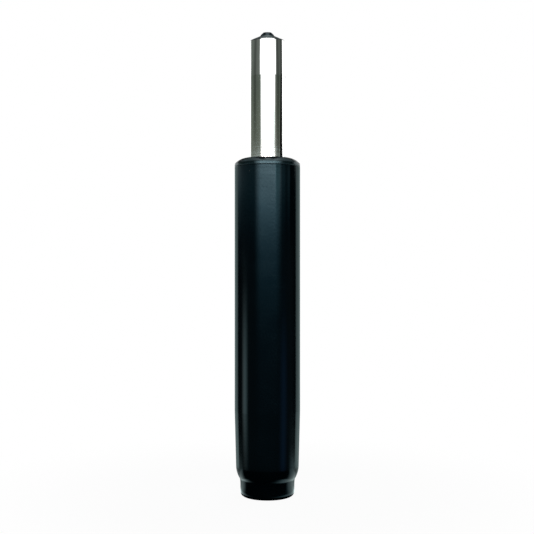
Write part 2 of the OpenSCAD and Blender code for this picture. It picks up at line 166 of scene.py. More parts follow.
def corner_round(before, corner, after, radius):
    """Points of the round that replaces a corner."""
    (ax, ay), a_length = unit(corner, before)
    (bx, by), b_length = unit(corner, after)
    half = math.acos(max(-1.0, min(1.0, ax * bx + ay * by))) / 2
    reach = min(radius / math.tan(half), ROUND_REACH * a_length, ROUND_REACH * b_length)
    radius = reach * math.tan(half)
    middle, _ = unit((0, 0), (ax + bx, ay + by))
    to_centre = radius / math.sin(half)
    centre = (corner[0] + middle[0] * to_centre, corner[1] + middle[1] * to_centre)
    first = math.atan2(corner[1] + ay * reach - centre[1], corner[0] + ax * reach - centre[0])
    last = math.atan2(corner[1] + by * reach - centre[1], corner[0] + bx * reach - centre[0])
    turn = (last - first + math.pi) % (2 * math.pi) - math.pi
    angles = [first + turn * step / ROUND_STEPS for step in range(ROUND_STEPS + 1)]
    return [(centre[0] + radius * math.cos(a), centre[1] + radius * math.sin(a)) for a in angles]


def rounded(corners):
    """Closed outline through (r, z) corners, where a third number rounds a corner by that radius."""
    points = []
    for index, corner in enumerate(corners):
        if len(corner) == 2:
            points.append(corner)
            continue
        before = corners[index - 1]
        after = corners[(index + 1) % len(corners)]
        points += corner_round(before[:2], corner[:2], after[:2], corner[2])
    return points


def held(outline):
    """Closed outline with a point near each end of its long sides."""
    points = []
    for start, end in zip(outline, outline[1:] + outline[:1]):
        points.append(start)
        (across, up), length = unit(start, end)
        if length > LONG_SIDE:
            points += [(start[0] + across * at, start[1] + up * at) for at in (HOLD, length - HOLD)]
    return points


def link(name, mesh):
    """Object with that mesh, in the scene, shaded smooth but for its sharp edges."""
    mesh.shade_smooth()
    mesh.set_sharp_from_angle(angle=SHARP_ANGLE)
    piece = bpy.data.objects.new(name, mesh)
    bpy.context.scene.collection.objects.link(piece)
    return piece


def turned(name, outline, segments=FINE_SEGMENTS):
    """Solid of revolution with a closed outline; points on the axis become single vertices."""
    shape = bmesh.new()
    angles = [2 * math.pi * i / segments for i in range(segments)]
    rings = []
    for r, z in held(outline):
        if r < AXIS_R:
            rings.append([shape.verts.new((0, 0, z))])
        else:
            rings.append([shape.verts.new((r * math.cos(a), r * math.sin(a), z)) for a in angles])
    for ring, following in zip(rings, rings[1:] + rings[:1]):
        for i in range(segments):
            j = i + 1
            around = [(ring, i), (ring, j), (following, j), (following, i)]
            corners = list(dict.fromkeys(each[at % len(each)] for each, at in around))
            if len(corners) > 2:
                shape.faces.new(corners)
    bmesh.ops.recalc_face_normals(shape, faces=shape.faces)
    mesh = bpy.data.meshes.new(name)
    shape.to_mesh(mesh)
    shape.free()
    return link(name, mesh)


def boxes_round(name, count, low, high):
    """Boxes between two corners, copied round the axis, as one object."""
    shape = bmesh.new()
    for index in range(count):
        made = bmesh.ops.create_cube(shape, size=1)["verts"]
        turn = 2 * math.pi * index / count
        for vertex in made:
            x, y, z = (start + (at + 0.5) * (end - start) for start, at, end in zip(low, vertex.co, high))
            vertex.co = (x * math.cos(turn) - y * math.sin(turn), x * math.sin(turn) + y * math.cos(turn), z)
    mesh = bpy.data.meshes.new(name)
    shape.to_mesh(mesh)
    shape.free()
    return link(name, mesh)


def combine(piece, tool, operation):
    """Joins a tool to a piece, or cuts it out, and removes the tool."""
    modifier = piece.modifiers.new("combine", "BOOLEAN")
    modifier.operation = operation
    modifier.solver = "EXACT"
    modifier.object = tool
    evaluated = piece.evaluated_get(bpy.context.evaluated_depsgraph_get())
    mesh = bpy.data.meshes.new_from_object(evaluated)
    piece.modifiers.clear()
    piece.data = mesh
    mesh.set_sharp_from_angle(angle=SHARP_ANGLE)
    bpy.data.objects.remove(tool)
    return piece


# Shader nodes


def add(tree, kind, inputs=None, **settings):
    """Adds a node, sets its properties, and sets or links its inputs."""
    node = tree.nodes.new(kind)
    for name, value in settings.items():
        setattr(node, name, value)
    for name, value in (inputs or {}).items():
        if isinstance(value, bpy.types.NodeSocket):
            tree.links.new(value, node.inputs[name])
        else:
            node.inputs[name].default_value = value
    return node


def compute(tree, operation, *values):
    """Output of a math node."""
    return add(tree, "ShaderNodeMath", dict(enumerate(values)), operation=operation).outputs[0]


def times(tree, first, *others):
    """Product of values."""
    for other in others:
        first = compute(tree, "MULTIPLY", first, other)
    return first


def plus(tree, first, *others):
    """Sum of values."""
    for other in others:
        first = compute(tree, "ADD", first, other)
    return first


def ease(tree, value, start, end, low=0.0, high=1.0):
    """low up to start and high from end on, with a smooth step between them."""
    inputs = {"Value": value, "From Min": start, "From Max": end, "To Min": low, "To Max": high}
    return add(tree, "ShaderNodeMapRange", inputs, interpolation_type="SMOOTHSTEP").outputs["Result"]


def between(tree, value, rise, fall, edge):
    """1 between two values and 0 outside them, with soft edges of that width."""
    up = ease(tree, value, rise - edge, rise + edge)
    down = ease(tree, value, fall + edge, fall - edge)
    return times(tree, up, down)


def ramp(tree, factor, stops):
    """Colour that passes through (position, colour) stops."""
    node = add(tree, "ShaderNodeValToRGB", {"Fac": factor})
    elements = node.color_ramp.elements
    while len(elements) < len(stops):
        elements.new(1.0)
    for element, (position, colour) in zip(elements, stops):
        element.position = position
        element.color = (*colour, 1)
    return node.outputs["Color"]


def blend_colour(tree, factor, first, second):
    """Colour between two others."""
    node = add(tree, "ShaderNodeMix", data_type="RGBA")
    for socket, value in ((node.inputs[0], factor), (node.inputs[6], first), (node.inputs[7], second)):
        if isinstance(value, bpy.types.NodeSocket):
            tree.links.new(value, socket)
        elif socket.type == "RGBA":
            socket.default_value = (*value, 1)
        else:
            socket.default_value = value
    return node.outputs[2]


def place(tree, stretch=(1, 1, 1)):
    """Place on the object in metres, stretched along its axes."""
    coordinates = add(tree, "ShaderNodeTexCoord").outputs["Object"]
    return add(tree, "ShaderNodeMapping", {"Vector": coordinates, "Scale": stretch}).outputs["Vector"]


def noise(tree, where, scale, detail=PLAIN):
    """Noise with that many features to a metre."""
    inputs = {"Vector": where, "Scale": scale, "Detail": detail}
    return add(tree, "ShaderNodeTexNoise", inputs).outputs["Fac"]


def spread(tree, value, low, high):
    """low to high over the range that a noise mostly keeps to."""
    return ease(tree, value, *NOISE_RANGE, low, high)


def bump(tree, height, depth):
    """Normal bent by a height of that depth in metres."""
    inputs = {"Height": height, "Distance": depth, "Strength": 1.0}
    return add(tree, "ShaderNodeBump", inputs).outputs["Normal"]


def new_material(name, build):
    """Material whose shader is made by build(tree)."""
    material = bpy.data.materials.new(name)
    material.use_nodes = True
    tree = material.node_tree
    tree.nodes.clear()
    add(tree, "ShaderNodeOutputMaterial", {"Surface": build(tree).outputs[0]})
    return material


def radius_of(tree):
    """Distance from the axis, in metres."""
    parts = add(tree, "ShaderNodeSeparateXYZ", {"Vector": place(tree)}).outputs
    squares = [times(tree, parts[axis], parts[axis]) for axis in ("X", "Y")]
    return compute(tree, "SQRT", plus(tree, *squares))


def height_of(tree):
    """Height above the foot, in metres."""
    return add(tree, "ShaderNodeSeparateXYZ", {"Vector": place(tree)}).outputs["Z"]


# Materials

# The pressure tube's box is read here because its finish changes at the seat taper, and painted shade
# darkens it at the crown
tube_low, tube_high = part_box("pressure_tube")
crown_edge_z = tube_high.z - CROWN_RISE
taper_foot = crown_edge_z - SEAT_TAPER_LEN

# Noises are in features to a metre, or three numbers where they differ along x, y and z. A span is the
# part of a noise, or of a distance, over which something sets in.
PAINT_DEEP = (0.0001, 0.0007, 0.0012)
PAINT_THIN = (0.0002, 0.0012, 0.0018)
PAINT_SHINE = (0.42, 0.82, 1.0, 1)
PAINT_MIRROR = 0.144
PAINT_CLOUDS = 45
PAINT_ROUGH = (0.09, 0.13)
PEEL = 520
PEEL_DEPTH = 0.010 * MM
DUST = (0.10, 0.095, 0.09)
DUST_CELLS = 75
DUST_SHARE = 0.1
DUST_SPAN = (0.045, 0.025)
DUST_ROUGH = 0.4
DUST_HEIGHT = 1.5
RUBBING = (60, 60, 900)
RUBBING_SPAN = (0.60, 0.78)
RUBBING_ROUGH = 0.05

PLASTIC_DEEP = (0.0003, 0.0026, 0.0036)
PLASTIC_THIN = (0.0010, 0.0040, 0.0050)
PLASTIC_SHINE = (0.55, 0.88, 1.0, 1)
PLASTIC_CLOUDS = 160
PLASTIC_ROUGH = (0.17, 0.23)
PLASTIC_GRAIN = 2600
PLASTIC_GRAIN_DEPTH = 0.003 * MM
# Ring of the bush's dome that is rubbed matt
MOUTH = (13 * MM, 19.5 * MM)
MOUTH_EDGE = 1 * MM
MOUTH_ROUGH = 0.4

TUBE_BRIGHT = (0.93, 0.935, 0.93)
TUBE_WORN = (0.86, 0.87, 0.86)
TUBE_CLOUDED = (0.82, 0.84, 0.825)
TUBE_LINE = (0.35, 0.36, 0.35)
# Painted shade: colour that darkens the crown end
TUBE_CROWN_SHADE = (0.37, 0.38, 0.37)
TUBE_RINGS = (25, 25, 2400)
TUBE_RINGS_SPAN = (0.35, 0.65)
TUBE_RINGS_HEIGHT = 0.006
TUBE_ROUGH = (0.04, 0.075)
TUBE_RUBS = (700, 700, 9)
TUBE_RUBS_SPAN = (0.55, 0.75)
TUBE_RUBS_ROUGH = 0.03
TUBE_FILM = (150, 150, 50)
TUBE_FILM_SPAN = (0.45, 0.70)
TUBE_WAVES = (110, 110, 45)
TUBE_WAVES_DEPTH = 0.035 * MM
LINE_H = 0.25 * MM
LINE_SPAN = (0.4, 0.6)
# Depths below the crown's edge where painted shade begins to darken the crown end and where it is full, with
# roughness added there too
CROWN_SHADE_FROM = 0.7 * MM
CROWN_SHADE_FULL = 0.2 * MM
CROWN_ROUGH = 0.08

BUTTON_DARK = (0.004, 0.006, 0.007)
BUTTON_RUBBED = (0.02, 0.022, 0.023)
BUTTON_SHINE = (0.8, 0.95, 1.0, 1)
BUTTON_MIRROR = 0.35
BUTTON_RINGS = 4200
BUTTON_RINGS_DEPTH = 0.002 * MM
BUTTON_ROUGH = (0.15, 0.24)
BUTTON_RUBS = 900
BUTTON_RUBS_SPAN = (0.58, 0.75)

# Bare metals: darker and lighter colour, least and most roughness, stretch and number of the tool's lines
LINES_ROUND = (0.02, 0.02, 1)
ZINC = ((0.58, 0.59, 0.56), (0.68, 0.68, 0.64), (0.28, 0.46), (1, 1, 1), 700)
GROUND = ((0.50, 0.51, 0.52), (0.60, 0.61, 0.62), (0.14, 0.26), LINES_ROUND, 2600)
BRASS = ((0.66, 0.47, 0.19), (0.76, 0.57, 0.26), (0.2, 0.32), LINES_ROUND, 2200)
METAL_MOTTLE = 260
METAL_LINES_DEPTH = 0.006 * MM

RUBBER_DARK = (0.012, 0.012, 0.012)
RUBBER_PALE = (0.03, 0.03, 0.029)
RUBBER_BLOOM = 300
RUBBER_ROUGH = (0.6, 0.8)
RUBBER_GRAIN = 3000
RUBBER_GRAIN_DEPTH = 0.02 * MM

NYLON_DARK = (0.70, 0.66, 0.57)
NYLON_PALE = (0.79, 0.76, 0.68)
NYLON_CLOUDS = 400
NYLON_ROUGH = (0.42, 0.55)
NYLON_LINES = 2400
NYLON_LINES_DEPTH = 0.01 * MM


def paint(tree):
    """Gloss black enamel on drawn steel: orange peel, dust caught in the film, faint rubbing."""
    where = place(tree)
    clouds = noise(tree, where, PAINT_CLOUDS)
    peel = noise(tree, where, PEEL, SMOOTH)
    cells = add(tree, "ShaderNodeTexVoronoi", {"Vector": where, "Scale": DUST_CELLS})
    chance = add(tree, "ShaderNodeSeparateColor", {"Color": cells.outputs["Color"]}).outputs["Red"]
    rare = compute(tree, "GREATER_THAN", chance, 1 - DUST_SHARE)
    speck = times(tree, rare, ease(tree, cells.outputs["Distance"], *DUST_SPAN))
    rubbing = ease(tree, noise(tree, place(tree, RUBBING), 1, FINE), *RUBBING_SPAN)
    colour = blend_colour(tree, clouds, PAINT_DEEP, PAINT_THIN)
    rough = plus(
        tree, spread(tree, clouds, *PAINT_ROUGH),
        times(tree, rubbing, RUBBING_ROUGH), times(tree, speck, DUST_ROUGH),
    )
    height = plus(tree, peel, times(tree, speck, DUST_HEIGHT))
    return add(tree, "ShaderNodeBsdfPrincipled", {
        "Base Color": blend_colour(tree, speck, colour, DUST),
        "Roughness": rough,
        "Specular IOR Level": PAINT_MIRROR,
        "Specular Tint": PAINT_SHINE,
        "Normal": bump(tree, height, PEEL_DEPTH),
    })


def moulded(tree):
    """Black moulded plastic with a fine spark-eroded grain, rubbed matt near the mouth."""
    where = place(tree)
    grain = noise(tree, where, PLASTIC_GRAIN)
    clouds = noise(tree, where, PLASTIC_CLOUDS)
    mouth = between(tree, radius_of(tree), *MOUTH, MOUTH_EDGE)
    return add(tree, "ShaderNodeBsdfPrincipled", {
        "Base Color": blend_colour(tree, clouds, PLASTIC_DEEP, PLASTIC_THIN),
        "Roughness": plus(tree, spread(tree, clouds, *PLASTIC_ROUGH), times(tree, mouth, MOUTH_ROUGH)),
        "Specular Tint": PLASTIC_SHINE,
        "Normal": bump(tree, grain, PLASTIC_GRAIN_DEPTH),
    })


def bright(tree):
    """Ground and plated tube: grinding rings, rubbing, a faint film, a line at the taper, painted shade on a
    rougher crown end.
    """
    rings = noise(tree, place(tree, TUBE_RINGS), 1, FINE)
    rubs = noise(tree, place(tree, TUBE_RUBS), 1)
    waves = noise(tree, place(tree, TUBE_WAVES), 1)
    film = ease(tree, noise(tree, place(tree, TUBE_FILM), 1), *TUBE_FILM_SPAN)
    worn = ease(tree, rubs, *TUBE_RUBS_SPAN)
    height = height_of(tree)
    taper_line = between(tree, height, taper_foot - LINE_H, taper_foot + LINE_H, LINE_H / 2)
    patchy_line = times(tree, taper_line, ease(tree, waves, *LINE_SPAN))
    # Painted shade: the crown end is painted darker than the rest of the tube, and made rougher
    crown_shade = ease(tree, height, crown_edge_z - CROWN_SHADE_FROM, crown_edge_z - CROWN_SHADE_FULL)
    ring_or_rub = compute(tree, "DIVIDE", plus(tree, rings, worn), 2)
    colour = blend_colour(tree, ring_or_rub, TUBE_BRIGHT, TUBE_WORN)
    colour = blend_colour(tree, film, colour, TUBE_CLOUDED)
    colour = blend_colour(tree, patchy_line, colour, TUBE_LINE)
    rough = plus(
        tree, ease(tree, rings, *TUBE_RINGS_SPAN, *TUBE_ROUGH),
        times(tree, worn, TUBE_RUBS_ROUGH), times(tree, crown_shade, CROWN_ROUGH),
    )
    relief = plus(tree, times(tree, rings, TUBE_RINGS_HEIGHT), waves)
    return add(tree, "ShaderNodeBsdfPrincipled", {
        "Base Color": blend_colour(tree, crown_shade, colour, TUBE_CROWN_SHADE),
        "Metallic": 1.0,
        "Roughness": rough,
        "Normal": bump(tree, relief, TUBE_WAVES_DEPTH),
    })


def blackened(tree):
    """Black-finished turned steel, with rings from the tool and rubbed spots."""
    across = times(tree, radius_of(tree), BUTTON_RINGS)
    rings = add(
        tree, "ShaderNodeTexNoise", {"W": across, "Scale": 1.0, "Detail": SMOOTH}, noise_dimensions="1D",
    ).outputs["Fac"]
    rubs = ease(tree, noise(tree, place(tree), BUTTON_RUBS, FINE), *BUTTON_RUBS_SPAN)
    return add(tree, "ShaderNodeBsdfPrincipled", {
        "Base Color": blend_colour(tree, rubs, BUTTON_DARK, BUTTON_RUBBED),
        "Roughness": spread(tree, rings, *BUTTON_ROUGH),
        "Specular IOR Level": BUTTON_MIRROR,
        "Specular Tint": BUTTON_SHINE,
        "Normal": bump(tree, rings, BUTTON_RINGS_DEPTH),
    })


def metal(tree, dark, pale, rough, stretch, lines):
    """Bare metal with tool lines along or round it, and mottling."""
    mottle = noise(tree, place(tree), METAL_MOTTLE, FINE)
    marks = noise(tree, place(tree, stretch), lines, FINE)
    return add(tree, "ShaderNodeBsdfPrincipled", {
        "Base Color": blend_colour(tree, mottle, dark, pale),
        "Metallic": 1.0,
        "Roughness": spread(tree, marks, *rough),
        "Normal": bump(tree, marks, METAL_LINES_DEPTH),
    })


def zinc(tree):
    """Zinc plate on pressed steel, slightly clouded."""
    return metal(tree, *ZINC)


def ground(tree):
    """Ground bearing and rod steel."""
    return metal(tree, *GROUND)


def brass(tree):
    """Turned brass."""
    return metal(tree, *BRASS)


def rubber(tree):
    """Black moulded rubber with a faint bloom."""
    bloom = noise(tree, place(tree), RUBBER_BLOOM, FINEST)
    grain = noise(tree, place(tree), RUBBER_GRAIN)
    return add(tree, "ShaderNodeBsdfPrincipled", {
        "Base Color": blend_colour(tree, bloom, RUBBER_DARK, RUBBER_PALE),
        "Roughness": spread(tree, bloom, *RUBBER_ROUGH),
        "Normal": bump(tree, grain, RUBBER_GRAIN_DEPTH),
    })


def nylon(tree):
    """Natural nylon with turning lines."""
    lines = noise(tree, place(tree, LINES_ROUND), NYLON_LINES)
    clouds = noise(tree, place(tree), NYLON_CLOUDS)
    return add(tree, "ShaderNodeBsdfPrincipled", {
        "Base Color": blend_colour(tree, clouds, NYLON_DARK, NYLON_PALE),
        "Roughness": spread(tree, lines, *NYLON_ROUGH),
        "Normal": bump(tree, lines, NYLON_LINES_DEPTH),
    })


FINISHES = {
    "column_paint": paint,
    "bush_plastic": moulded,
    "bright_tube": bright,
    "dark_button": blackened,
    "zinc_plate": zinc,
    "ground_steel": ground,
    "brass": brass,
    "seal_rubber": rubber,
    "glide_nylon": nylon,
}
LOOKS = {name: new_material(name, build) for name, build in FINISHES.items()}
SLOT_OF = {part["node"]: part["material_slot"] for part in frame["record"]["subparts"]}
BODY_OF = {node: body for body, nodes in frame["record"]["behaviour"]["bodies"].items() for node in nodes}

for node, solid in frame["nodes"].items():
    for slot in solid.material_slots:
        slot.material = LOOKS[SLOT_OF[node]]


def stand_for(piece, node):
    """Lets a finer piece take a solid's place, body and finish."""
    piece.data.materials.clear()
    piece.data.materials.append(LOOKS[SLOT_OF[node]])
    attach(piece, BODY_OF[node])
    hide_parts(node)
    return piece


# Column

_, column_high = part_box("column_tube")
column_r = column_high.x
column_top = column_high.z


def column_side(depth):
    """Side of the column from the foot's opening to the top edge, set in by a depth."""
    lean = math.atan(1 / (2 * BASE_TAPER_RATE))
    taper_r = column_r - (BASE_TAPER_TOP - BASE_TAPER_FOOT) / (2 * BASE_TAPER_RATE)
    shoulder = (taper_r - SHOULDER_R * math.cos(lean), BASE_TAPER_FOOT + SHOULDER_R * math.sin(lean))
    flare_to_fillet = NECK_FLARE_R - NECK_FILLET_R
    flare_angle = math.radians(NECK_FLARE)
    fillet_x = NECK_R + NECK_FLARE_R - flare_to_fillet * math.cos(flare_angle)
    bends = SHOULDER_R + NECK_FILLET_R
    bend = math.acos((fillet_x - shoulder[0]) / bends)
    fillet = (fillet_x, shoulder[1] - bends * math.sin(bend))
    flare = (NECK_R + NECK_FLARE_R, fillet[1] - flare_to_fillet * math.sin(flare_angle))
    bend, lean = math.degrees(bend), math.degrees(lean)
    return (
        [(FOOT_HOLE_R, depth, FINE_ROUND)]
        + arc((NECK_R - FOOT_R, FOOT_R), FOOT_R - depth, -90, 0)
        + arc(flare, NECK_FLARE_R + depth, 180, 180 - NECK_FLARE)
        + arc(fillet, NECK_FILLET_R + depth, 180 - NECK_FLARE, 180 - bend)[1:]
        + arc(shoulder, SHOULDER_R - depth, -bend, -lean)[1:]
        + [(column_r - depth, BASE_TAPER_TOP), (column_r - depth, column_top, SEAM_ROUND)]
    )


column = turned("column_tube_painted", rounded(column_side(0) + column_side(COLUMN_WALL)[::-1]))
stand_for(column, "column_tube")


# Guide bush, whose edge is slightly crowned

bush_low, bush_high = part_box("guide_bush")
bush_foot = bush_low.z
flange_top = bush_high.z
land_r = FLANGE_LAND / math.sin(math.radians(LAND_LEAN))
land = arc((column_r - land_r, column_top), land_r, 0, LAND_LEAN)
dome_edge_r, _ = land[-1]
crest_r = BUSH_BORE_R + BUSH_LEAD + CREST_W
dome_r = ((dome_edge_r - crest_r) ** 2 + DOME_RISE ** 2) / (2 * DOME_RISE)
dome_start = math.degrees(math.asin((dome_r - DOME_RISE) / dome_r))
dome = arc((crest_r, flange_top - dome_r), dome_r, dome_start, 90)

bush = turned("guide_bush_moulded", rounded(
    [
        (BUSH_BORE_R, bush_foot, FINE_ROUND),
        (BUSH_WALL_R, bush_foot, SHEET_ROUND),
        (BUSH_WALL_R, bush_foot + BUSH_RING_H),
        (BUSH_SLEEVE_R, bush_foot + BUSH_RING_H),
        (BUSH_SLEEVE_R, column_top - BUSH_RING_H),
        (BUSH_WALL_R, column_top - BUSH_RING_H),
        (BUSH_WALL_R, column_top),
        (column_r, column_top, SEAM_ROUND),
    ]
    + land[2:-1]
    + [(*land[-1], DOME_EDGE_ROUND)]
    + dome[1:]
    + [
        (BUSH_BORE_R + BUSH_LEAD, flange_top, FINE_ROUND),
        (BUSH_BORE_R, flange_top - BUSH_LEAD, FINE_ROUND),
    ]
))
ribs = boxes_round(
    "bush_ribs", BUSH_RIBS,
    (BUSH_SLEEVE_R - RIB_ROOT, -BUSH_RIB_W / 2, bush_foot + BUSH_RING_H - RIB_ROOT),
    (BUSH_WALL_R - RIB_ROOT, BUSH_RIB_W / 2, column_top - BUSH_RING_H + RIB_ROOT),
)
stand_for(combine(bush, ribs, "UNION"), "guide_bush")


# Pressure tube

tube_r = tube_high.x
tube_top = tube_high.z
tube_foot = tube_low.z
tube_bore_r = tube_r - TUBE_WALL
crown_edge_r = tube_r - SEAT_TAPER_LEN / (2 * SEAT_TAPER_RATE)
crown_slope = CROWN_RISE / (crown_edge_r - CROWN_HOLE_R)
tube_foot_centre = (tube_r - TUBE_FOOT_R, tube_foot + TUBE_FOOT_R)


def crown_under(r):
    """Height of the crowned end's inner face at a radius."""
    return tube_top - CROWN_WALL - (r - CROWN_HOLE_R) * crown_slope


pressure_tube = turned("pressure_tube_ground", rounded(
    [(TUBE_FOOT_HOLE_R, tube_foot, FINE_ROUND)]
    + arc(tube_foot_centre, TUBE_FOOT_R, -90, 0)
    + [
        (tube_r, taper_foot),
        (crown_edge_r, crown_edge_z, CROWN_EDGE_R),
        (CROWN_HOLE_R, tube_top, FINE_ROUND),
        (CROWN_HOLE_R, crown_under(CROWN_HOLE_R)),
        (tube_bore_r, crown_under(tube_bore_r)),
    ]
    + arc(tube_foot_centre, TUBE_FOOT_R - TUBE_WALL, 0, -90)
    + [(TUBE_FOOT_HOLE_R, tube_foot + TUBE_WALL, FINE_ROUND)]
))
stand_for(pressure_tube, "pressure_tube")


# Button bush and release button

plug_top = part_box("button_bush")[0].z
pack_r = tube_bore_r - PACK_FIT
cavity_top = plug_top + CAVITY_H
button_bush = turned("button_bush_moulded", rounded([
    (CAVITY_R, plug_top),
    (pack_r, plug_top, FINE_ROUND),
    (pack_r, crown_under(pack_r) - PACK_FIT, FINE_ROUND),
    (COLLAR_R, crown_under(COLLAR_R) - PACK_FIT),
    (COLLAR_R, tube_top, FINE_ROUND),
    (COLLAR_R - COLLAR_TAPER, tube_top + COLLAR_RISE, FINE_ROUND),
    (COLLAR_BORE_R, tube_top + COLLAR_RISE, FINE_ROUND),
    (COLLAR_BORE_R, cavity_top),
    (CAVITY_R, cavity_top),
]), SMALL_SEGMENTS)
stand_for(button_bush, "button_bush")

button_low, button_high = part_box("release_button")
button_foot, button_top = button_low.z, button_high.z
button_flange_r = button_high.x
release_button = turned("release_button_turned", rounded([
    (0, button_foot),
    (button_flange_r, button_foot, FINE_ROUND),
    (button_flange_r, button_foot + BUTTON_FLANGE_T, FINE_ROUND),
    (BUTTON_R, button_foot + BUTTON_FLANGE_T),
    (BUTTON_R, button_top - BUTTON_CHAMFER, 2 * FINE_ROUND),
    (BUTTON_R - BUTTON_CHAMFER, button_top, 2 * FINE_ROUND),
    (0, button_top),
]), SMALL_SEGMENTS)
stand_for(release_button, "release_button")


# Base cup, rod and what holds the rod's end, seen in the foot's opening

cup_low, cup_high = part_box("base_cup")
cup_rim_r, cup_foot, cup_top = cup_high.x, cup_low.z, cup_high.z
base_cup = turned("base_cup_pressed", rounded([
    (CUP_R - CUP_T, cup_foot, BEND_ROUND),
    (cup_rim_r, cup_foot, FINE_ROUND),
    (cup_rim_r, cup_foot + CUP_T, FINE_ROUND),
    (CUP_R, cup_foot + CUP_T, FINE_ROUND),
    (CUP_R, cup_top, BEND_ROUND),
    (CUP_BORE_R, cup_top, FINE_ROUND),
    (CUP_BORE_R, RECESS_H, FINE_ROUND),
    (CUP_R - CUP_T, RECESS_H, SHEET_ROUND),
]), SMALL_SEGMENTS)
stand_for(base_cup, "base_cup")

rod_low, rod_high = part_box("piston_rod")
rod_foot, rod_top, rod_r = rod_low.z, rod_high.z, rod_high.x
clip_low, clip_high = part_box("retaining_clip")
washer_low, washer_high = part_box("retaining_washer")
piston_rod = turned("piston_rod_ground", rounded([
    (0, rod_foot),
    (ROD_END_R - ROD_CHAMFER, rod_foot, FINE_ROUND),
    (ROD_END_R, rod_foot + ROD_CHAMFER, FINE_ROUND),
    (ROD_END_R, clip_low.z, FINE_ROUND),
    (CLIP_GROOVE_R, clip_low.z),
    (CLIP_GROOVE_R, washer_low.z),
    (ROD_END_R, washer_low.z),
    (ROD_END_R, ROD_SHOULDER_Z),
    (rod_r, ROD_SHOULDER_Z, FINE_ROUND),
    (rod_r, PISTON_Z),
    (TENON_R, PISTON_Z),
    (TENON_R, rod_top - ROD_HEAD_H),
    (ROD_HEAD_R, rod_top - ROD_HEAD_H, FINE_ROUND),
    (ROD_HEAD_R, rod_top, SHEET_ROUND),
    (0, rod_top),
]), SMALL_SEGMENTS)
stand_for(piston_rod, "piston_rod")

retaining_washer = turned("retaining_washer_plated", rounded([
    (WASHER_BORE_R, washer_low.z, FINE_ROUND),
    (washer_high.x, washer_low.z, 2 * FINE_ROUND),
    (washer_high.x, washer_high.z, FINE_ROUND),
    (WASHER_BORE_R, washer_high.z),
]), SMALL_SEGMENTS)
stand_for(retaining_washer, "retaining_washer")

clip_r = clip_high.y
retaining_clip = turned("retaining_clip_sprung", rounded([
    (CLIP_BORE_R, clip_low.z, FINE_ROUND),
    (clip_r, clip_low.z, 2 * FINE_ROUND),
    (clip_r, clip_high.z, FINE_ROUND),
    (CLIP_BORE_R, clip_high.z),
]), SMALL_SEGMENTS)
mouth = boxes_round(
    "clip_mouth", 1,
    (0, -CLIP_MOUTH / 2, clip_low.z - MM),
    (2 * clip_r, CLIP_MOUTH / 2, clip_high.z + MM),
)
stand_for(combine(retaining_clip, mouth, "DIFFERENCE"), "retaining_clip")


# Floor: white but for the object's shadow, and clear from below. What the object mirrors of it is a glow
# behind a slanted line, with nothing under the foot's opening or far out.

FLOOR_SHADE = 0.05
FLOOR_SHADE_SPAN = (0.9 * FLOOR_R, 0.25 * FLOOR_R)
SHADE_COLOUR = (0.92, 0.92, 0.92, 1)
FLOOR_SEGMENTS = 96

FLOOR_GLOW = (0.82, 1.0, 0.99, 1)
MIRRORED_SPAN = (130 * MM, 91 * MM)
FOOT_SHADOW = (22.5 * MM, 24.5 * MM)
# The line's slant and place inside a ring and outside it
GLOW_RING = (33 * MM, 36 * MM)
GLOW_SLANT = (0.29, 0.11)
GLOW_FORWARD = (18.3 * MM, 6 * MM)
GLOW_BLUR = 8 * MM
# Its strength in front of some depth and behind it, and what it loses outside the ring, left and right
GLOW_DEPTH = (12 * MM, 35 * MM)
GLOW_STRENGTH = (2.3, 0.75)
GLOW_SHARE = 0.95
GLOW_SIDES = (-40 * MM, 40 * MM)
GLOW_LOSS = (0.4, 0.25)


def pale_floor(tree):
    """Pale floor that fades to white around the object."""
    out = radius_of(tree)
    shade = ease(tree, out, *FLOOR_SHADE_SPAN, 0.0, FLOOR_SHADE)
    white = add(tree, "ShaderNodeEmission", {"Color": WHITE, "Strength": 1.0})
    shaded = add(tree, "ShaderNodeBsdfDiffuse", {"Color": SHADE_COLOUR})
    seen = add(tree, "ShaderNodeMixShader", {0: shade, 1: white.outputs[0], 2: shaded.outputs[0]})

    parts = add(tree, "ShaderNodeSeparateXYZ", {"Vector": place(tree)}).outputs
    slant = times(tree, parts["X"], ease(tree, out, *GLOW_RING, *GLOW_SLANT))
    past_line = plus(tree, parts["Y"], slant, ease(tree, out, *GLOW_RING, *GLOW_FORWARD))
    loss = times(tree, ease(tree, out, *GLOW_RING), ease(tree, parts["X"], *GLOW_SIDES, *GLOW_LOSS))
    strength = times(
        tree, ease(tree, past_line, -GLOW_BLUR, GLOW_BLUR),
        ease(tree, out, *FOOT_SHADOW),
        ease(tree, parts["Y"], *GLOW_DEPTH, *GLOW_STRENGTH),
        compute(tree, "SUBTRACT", GLOW_SHARE, loss),
    )
    glow = add(tree, "ShaderNodeEmission", {"Color": FLOOR_GLOW, "Strength": strength})
    clear = add(tree, "ShaderNodeBsdfTransparent")
    outside_opening = ease(tree, out, FOOT_HOLE_R - MM, FOOT_HOLE_R)
    near = times(tree, ease(tree, out, *MIRRORED_SPAN), outside_opening)
    mirrored = add(tree, "ShaderNodeMixShader", {0: near, 1: clear.outputs[0], 2: glow.outputs[0]})

    camera_ray = add(tree, "ShaderNodeLightPath").outputs["Is Camera Ray"]
    top = add(tree, "ShaderNodeMixShader", {0: camera_ray, 1: mirrored.outputs[0], 2: seen.outputs[0]})
    below = add(tree, "ShaderNodeNewGeometry").outputs["Backfacing"]
    return add(tree, "ShaderNodeMixShader", {0: below, 1: top.outputs[0], 2: clear.outputs[0]})


